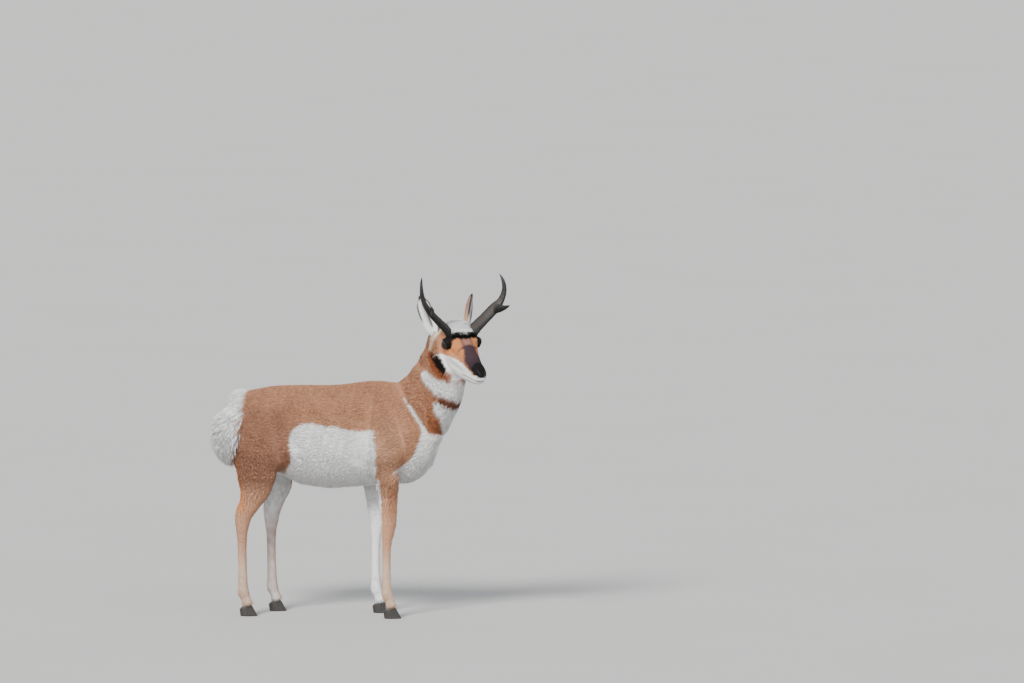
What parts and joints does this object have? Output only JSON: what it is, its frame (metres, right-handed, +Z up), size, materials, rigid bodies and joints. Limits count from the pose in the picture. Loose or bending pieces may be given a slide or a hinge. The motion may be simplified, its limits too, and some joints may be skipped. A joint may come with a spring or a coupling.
{
  "type": "pronghorn",
  "caption": "Life-size still model of a standing pronghorn buck, body side-on, head turned to its right, with black pronged horns and white rump.",
  "frame": {"origin": "on the ground, midway along and across the whole animal's box", "axes": "+X forward along the body, towards the chest; +Y to the animal's left; +Z up"},
  "size_m": [1.1938, 0.4132, 1.321],
  "materials": {
    "tan_hair": "short coarse tan hair, lying flat, with white flanks, throat bands and belly",
    "face_hair": "very short hair, tan cheeks, white jaw and crown, dark nose and cheek patch",
    "white_hair": "long white erectile hair",
    "ear_hair": "tan short hair outside, pale inside, dark rim and tip",
    "horn": "dark fibrous keratin, rough at the base and smooth at the tip",
    "eye": "wet and glossy",
    "hoof": "dark keratin, satin"
  },
  "bodies": {
    "root": {"ear_left": "ear_hair", "ear_right": "ear_hair", "eye_left": "eye", "eye_right": "eye", "foreleg_left": "tan_hair", "foreleg_right": "tan_hair", "head": "face_hair", "hindleg_left": "tan_hair", "hindleg_right": "tan_hair", "hoof_fore_left_inner": "hoof", "hoof_fore_left_outer": "hoof", "hoof_fore_right_inner": "hoof", "hoof_fore_right_outer": "hoof", "hoof_hind_left_inner": "hoof", "hoof_hind_left_outer": "hoof", "hoof_hind_right_inner": "hoof", "hoof_hind_right_outer": "hoof", "horn_left": "horn", "horn_right": "horn", "neck": "tan_hair", "prong_left": "horn", "prong_right": "horn", "rump": "white_hair", "tail": "white_hair", "torso": "tan_hair"}
  },
  "joints": []
}
